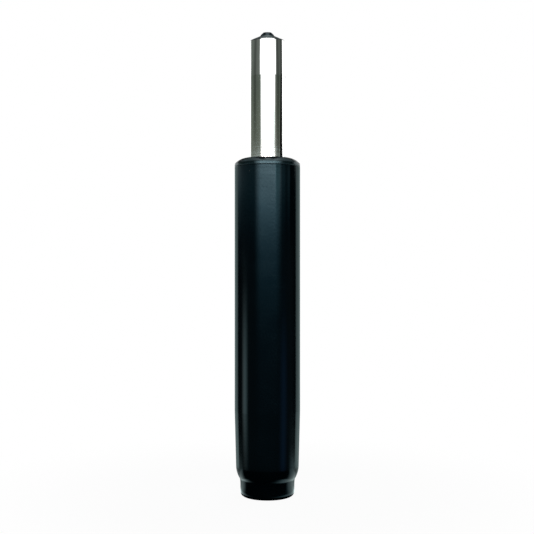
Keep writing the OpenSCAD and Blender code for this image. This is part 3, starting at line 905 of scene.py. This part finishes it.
floor_shape = bmesh.new()
bmesh.ops.create_circle(floor_shape, cap_ends=True, segments=FLOOR_SEGMENTS, radius=FLOOR_R)
floor_mesh = bpy.data.meshes.new("floor")
floor_shape.to_mesh(floor_mesh)
floor_shape.free()
floor = bpy.data.objects.new("floor", floor_mesh)
bpy.context.scene.collection.objects.link(floor)
floor_mesh.materials.append(new_material("floor", pale_floor))


# Studio light: a pale backdrop, dim walls, a soft panel in front and one overhead. Azimuths and elevations
# are in degrees, azimuths from the camera's side and positive to the right. Of a pair of them, the first is
# where something begins and the second where it is full, or they are its two edges.

# Lowest and highest elevation that the lists below run between
LOWEST = -20
HIGHEST = 30

# Elevations, with the front panel's light there
PANEL = [
    (-14, (0.004, 0.008, 0.01)), (-7.5, (0.006, 0.01, 0.015)), (-3, (0.02, 0.042, 0.06)),
    (-0.7, (0.075, 0.165, 0.205)), (1.5, (0.19, 0.31, 0.385)), (3.8, (1.15, 1.32, 1.40)),
    (5.9, (6.6, 5.1, 4.8)), (6.3, (1.3, 1.3, 1.3)), (6.7, (1.9, 1.9, 1.9)), (7.5, (3.4, 3.4, 3.4)),
    (9.5, (4.5, 4.5, 4.5)), (12, (5.8, 5.8, 5.8)), (14, (8.0, 8.0, 8.0)), (17.5, (9.0, 9.0, 9.0)),
]
PANEL_PEAK = 9.0
PANEL_AZIMUTH = 3.4
PANEL_SIDE = (52, 22)
PANEL_TOP = (17.6, 16.2)
# High up, offsets from its middle count for less, which makes it wider there
PANEL_WIDENS = (11.8, 14.5)
PANEL_OFFSETS = 0.9
VEIL = (1.0, 1.16, 1.12)
VEIL_SIDE = (24, 32)
VEIL_TOP = (11.5, 8.5)

# Azimuths, with the walls' brightness there
WALLS = [
    (-180, 0.135), (-110, 0.135), (-100, 0.115), (-70, 0.115), (-52, 0.135), (-38, 0.12), (35, 0.09),
    (47, 0.10), (58, 0.13), (63, 0.10), (68, 0.05), (73, 0.05), (79, 0.095), (89, 0.085), (97, 0.05),
    (180, 0.05),
]
# Elevations, with the walls' colour there
WALL_HEIGHTS = [
    (-20, (0.014, 0.03, 0.036)), (-1, (0.02, 0.042, 0.055)), (1.5, (0.04, 0.08, 0.11)),
    (3.8, (0.52, 0.95, 1.1)), (4.8, (1.5, 2.25, 2.45)), (5.6, (2.5, 3.2, 3.4)), (6.1, (1.25, 1.35, 1.15)),
    (8, (0.95, 1.1, 0.87)), (9.5, (0.78, 0.92, 0.73)), (11.5, (0.78, 0.92, 0.78)), (13.5, (1.0, 1.13, 1.0)),
    (17, (1.04, 1.16, 1.06)), (21, (0.2, 0.2, 0.2)),
]
WALL_PEAK = 3.8
# Dark post on the right, which leans, and a darker gap on the left
POST = (85.5, 130)
POST_BLUR = 2.5
POST_LEAN_FROM = (7, 12)
POST_LEAN = 8.0
POST_TOP = (13.5, 11.5)
POST_DARKNESS = 0.96
GAP = (-95, -76)
GAP_BLUR = 4.0
GAP_FOOT = (6.5, 9)
GAP_DARKNESS = 0.42

BACK_LOW = (0.305, 0.405, 0.40)
BACK_HIGH = (1.12, 1.12, 1.12)
BACK_CHANGE = (5.85, 6.4)
BACK_RIGHT = (107.0, 108.4)
BACK_LEFT = (-125.5, -128.5)
# How much farther out its edges are high up and low down
BACK_UPPER = (12, 14.5)
BACK_LOWER = (7, 5.5)
UPPER_RIGHT_OUT = 6.0
UPPER_LEFT_OUT = 13.0
LOWER_RIGHT_OUT = 11.5
# Its foot is brighter at the sides and dimmer in the middle
BACK_FOOT = (-6, -12)
BACK_FOOT_MIDDLE = (135, 165)
BACK_FOOT_CHANGE = (0.5, -0.35)
# Its top edge on the left and on the right, and lower in the middle
BACK_MEETS = (-1, 1)
BACK_TOPS = (20.0, 26.0)
BACK_MIDDLE = (166, 171)
BACK_MIDDLE_TOPS = (40.0, 13.5)
BACK_TOP_BLUR = 0.8
ABOVE_BACK = 0.03
GLARE = 1.35
GLARE_HEIGHTS = (6.2, 15)
GLARE_BLUR = 0.5
GLARE_SIDE = (140, 128)
# Glow under the backdrop, which reaches farther forward
LOW_GLOW_TOP = (-12.2, -13.1)
LOW_GLOW_RIGHT = (80, 108)
LOW_GLOW_LEFT = (-94, -122)
LOW_GLOW_RIGHT_LEVEL = 1.6

# Colour, azimuths and their blur, elevations and their blur
LEFT_LAMP = ((0.95, 0.99, 0.93), (-95, -77), 8.0, (-11.6, -3.4), 3.0)
RIGHT_LAMP = ((0.05, 0.085, 0.18), (49, 69), 10.0, (-20, -4), 2.4)

# Overhead light and ceiling, where AT, SIDE and DEPTH are the direction's x or y
OVERHEAD_AT = 0.03
OVERHEAD_SIDE = (0.42, 0.12)
OVERHEAD_FROM = (50, 70)
OVERHEAD_LEVEL = 1.6
CEILING = (0.75, 1.0, 1.05)
CEILING_FROM = (24, 52)
CEILING_LEVEL = 0.30
CEILING_DEPTH = (0.0, 0.3)

# Below what the tube mirrors to the camera, the light gains this much in front and behind
LOW_ZONE = (6.2, 5.9)
LOW_GAIN = (2.9, 0.2)
LOW_GAIN_SIDE = (50, 175)
# The room's own light, beside the object and from below
FILL_LEVEL = 0.12
FILL_SIDE = (118, 85)
FILL_TOP = (3, 0)
BELOW = (-16, -20)
BELOW_LEVEL = 0.75


def studio(tree):
    """Colour of the studio in a direction, for all rays but the camera's."""
    direction = add(tree, "ShaderNodeTexCoord").outputs["Generated"]
    x, y, z = add(tree, "ShaderNodeSeparateXYZ", {"Vector": direction}).outputs
    towards = times(tree, y, -1.0)
    azimuth = compute(tree, "DEGREES", compute(tree, "ARCTAN2", x, towards))
    elevation = compute(tree, "DEGREES", compute(tree, "ARCSINE", z))
    turned_away = compute(tree, "ABSOLUTE", azimuth)
    around = compute(tree, "DIVIDE", plus(tree, azimuth, 180.0), 360.0)
    upward = compute(tree, "DIVIDE", compute(tree, "SUBTRACT", elevation, LOWEST), HIGHEST - LOWEST)

    def by_height(stops, peak):
        """Colour at the elevation, from a list of stops, over its peak."""
        span = HIGHEST - LOWEST
        shares = [((at - LOWEST) / span, tuple(part / peak for part in light)) for at, light in stops]
        return ramp(tree, upward, shares)

    def vector(operation, inputs):
        """Output of a vector node."""
        return add(tree, "ShaderNodeVectorMath", inputs, operation=operation).outputs[0]

    def scaled(colour, *factors):
        """Colour times all the factors."""
        return vector("SCALE", {0: colour, "Scale": times(tree, *factors)})

    def lamp(colour, azimuths, side_blur, elevations, end_blur):
        """Soft-edged patch of light."""
        sides = between(tree, azimuth, *azimuths, side_blur)
        ends = between(tree, elevation, *elevations, end_blur)
        return scaled(colour, sides, ends)

    # Soft panel in front, brighter and wider towards its top, veiled low on the right
    off_panel = compute(tree, "ABSOLUTE", compute(tree, "SUBTRACT", azimuth, PANEL_AZIMUTH))
    off_panel = times(tree, off_panel, ease(tree, elevation, *PANEL_WIDENS, 1.0, PANEL_OFFSETS))
    panel_side = ease(tree, off_panel, *PANEL_SIDE, 0.0, PANEL_PEAK)
    panel = scaled(by_height(PANEL, PANEL_PEAK), panel_side, ease(tree, elevation, *PANEL_TOP))
    veil = times(tree, ease(tree, azimuth, *VEIL_SIDE), ease(tree, elevation, *VEIL_TOP))
    veiled = blend_colour(tree, veil, (PANEL_PEAK, PANEL_PEAK, PANEL_PEAK), VEIL)
    panel = vector("MINIMUM", {0: panel, 1: veiled})

    # Backdrop behind the object, white but for its lower part, with an uneven top edge
    higher = ease(tree, elevation, *BACK_UPPER)
    lower = ease(tree, elevation, *BACK_LOWER)
    right_out = plus(tree, times(tree, lower, LOWER_RIGHT_OUT), times(tree, higher, UPPER_RIGHT_OUT))
    left_out = times(tree, higher, UPPER_LEFT_OUT)
    back_right = ease(tree, compute(tree, "SUBTRACT", azimuth, right_out), *BACK_RIGHT)
    back_left = ease(tree, plus(tree, azimuth, left_out), *BACK_LEFT)
    back_side = plus(tree, back_right, back_left)
    back_colour = blend_colour(tree, ease(tree, elevation, *BACK_CHANGE), BACK_LOW, BACK_HIGH)
    foot_change = ease(tree, turned_away, *BACK_FOOT_MIDDLE, *BACK_FOOT_CHANGE)
    back_foot = plus(tree, times(tree, ease(tree, elevation, *BACK_FOOT), foot_change), 1.0)
    top_beside = ease(tree, azimuth, *BACK_MEETS, *BACK_TOPS)
    top_behind = ease(tree, turned_away, *BACK_MIDDLE, *BACK_MIDDLE_TOPS)
    over_top = compute(tree, "SUBTRACT", elevation, compute(tree, "MINIMUM", top_beside, top_behind))
    under_top = ease(tree, over_top, BACK_TOP_BLUR, -BACK_TOP_BLUR, ABOVE_BACK, 1.0)
    glare_height = between(tree, elevation, *GLARE_HEIGHTS, GLARE_BLUR)
    beside_tube = times(tree, glare_height, ease(tree, turned_away, *GLARE_SIDE))
    back_glare = ease(tree, beside_tube, 0.0, 1.0, 1.0, GLARE)
    back = scaled(back_colour, back_side, back_foot, back_glare, under_top)
    past_right = ease(tree, azimuth, *LOW_GLOW_RIGHT, 0.0, LOW_GLOW_RIGHT_LEVEL)
    past_side = plus(tree, past_right, ease(tree, azimuth, *LOW_GLOW_LEFT))
    not_back = compute(tree, "MAXIMUM", compute(tree, "SUBTRACT", 1.0, back_side), 0.0)
    low_glow = scaled(BACK_LOW, past_side, ease(tree, elevation, *LOW_GLOW_TOP), not_back)

    # Dim walls beside the object, with a darker gap on the left and a dark post on the right
    wall_level = ramp(tree, around, [((at + 180) / 360, (level, level, level)) for at, level in WALLS])
    wall_level = add(tree, "ShaderNodeSeparateColor", {"Color": wall_level}).outputs["Red"]
    post_lean = ease(tree, elevation, *POST_LEAN_FROM, 0.0, POST_LEAN)
    post_side = between(tree, compute(tree, "SUBTRACT", azimuth, post_lean), *POST, POST_BLUR)
    post = times(tree, post_side, ease(tree, elevation, *POST_TOP, 0.0, POST_DARKNESS))
    gap_side = between(tree, azimuth, *GAP, GAP_BLUR)
    gap = times(tree, gap_side, ease(tree, elevation, *GAP_FOOT, 0.0, GAP_DARKNESS))
    left_over = compute(tree, "SUBTRACT", 1.0, plus(tree, post, gap, back_side))
    wall_share = times(tree, compute(tree, "MAXIMUM", left_over, 0.0), WALL_PEAK)
    walls = scaled(by_height(WALL_HEIGHTS, WALL_PEAK), wall_level, wall_share)

    # Narrow panel overhead, and its soft light on the ceiling behind
    off_centre = compute(tree, "ABSOLUTE", compute(tree, "SUBTRACT", x, OVERHEAD_AT))
    overhead_level = ease(tree, elevation, *OVERHEAD_FROM, 0.0, OVERHEAD_LEVEL)
    overhead = scaled(WHITE[:3], overhead_level, ease(tree, off_centre, *OVERHEAD_SIDE))
    ceiling_level = ease(tree, elevation, *CEILING_FROM, 0.0, CEILING_LEVEL)
    ceiling = scaled(CEILING, ceiling_level, ease(tree, y, *CEILING_DEPTH))

    # Low down all of it is brighter, and the room has some light of its own
    total = panel
    for light in (back, low_glow, walls, lamp(*LEFT_LAMP), lamp(*RIGHT_LAMP), overhead, ceiling):
        total = vector("ADD", {0: total, 1: light})
    low_gain = ease(tree, turned_away, *LOW_GAIN_SIDE, *LOW_GAIN)
    low_gain = times(tree, low_gain, ease(tree, elevation, *LOW_ZONE))
    total = scaled(total, plus(tree, low_gain, 1.0))
    fill_side = ease(tree, turned_away, *FILL_SIDE, 0.0, FILL_LEVEL)
    fill = times(tree, fill_side, ease(tree, elevation, *FILL_TOP))
    fill = compute(tree, "MAXIMUM", fill, ease(tree, elevation, *BELOW, 0.0, BELOW_LEVEL))
    return vector("ADD", {0: total, 1: scaled(WHITE[:3], fill)})


world = bpy.data.worlds.new("studio")
world.use_nodes = True
bpy.context.scene.world = world
sky = world.node_tree
sky.nodes.clear()
lit = add(sky, "ShaderNodeBackground", {"Color": studio(sky), "Strength": 1.0})
white_room = add(sky, "ShaderNodeBackground", {"Color": WHITE, "Strength": 1.0})
seen_by = add(sky, "ShaderNodeLightPath").outputs["Is Camera Ray"]
room = add(sky, "ShaderNodeMixShader", {0: seen_by, 1: lit.outputs[0], 2: white_room.outputs[0]})
add(sky, "ShaderNodeOutputWorld", {"Surface": room.outputs[0]})


# Camera

lens = bpy.data.cameras.new("camera")
lens.lens = CAMERA_LENS
lens.sensor_width = CAMERA_SENSOR
camera = bpy.data.objects.new("camera", lens)
camera.location = CAMERA_AT
camera.rotation_euler = (math.pi / 2, 0, 0)
bpy.context.scene.collection.objects.link(camera)
bpy.context.scene.camera = camera
bpy.context.scene.view_settings.view_transform = "Standard"
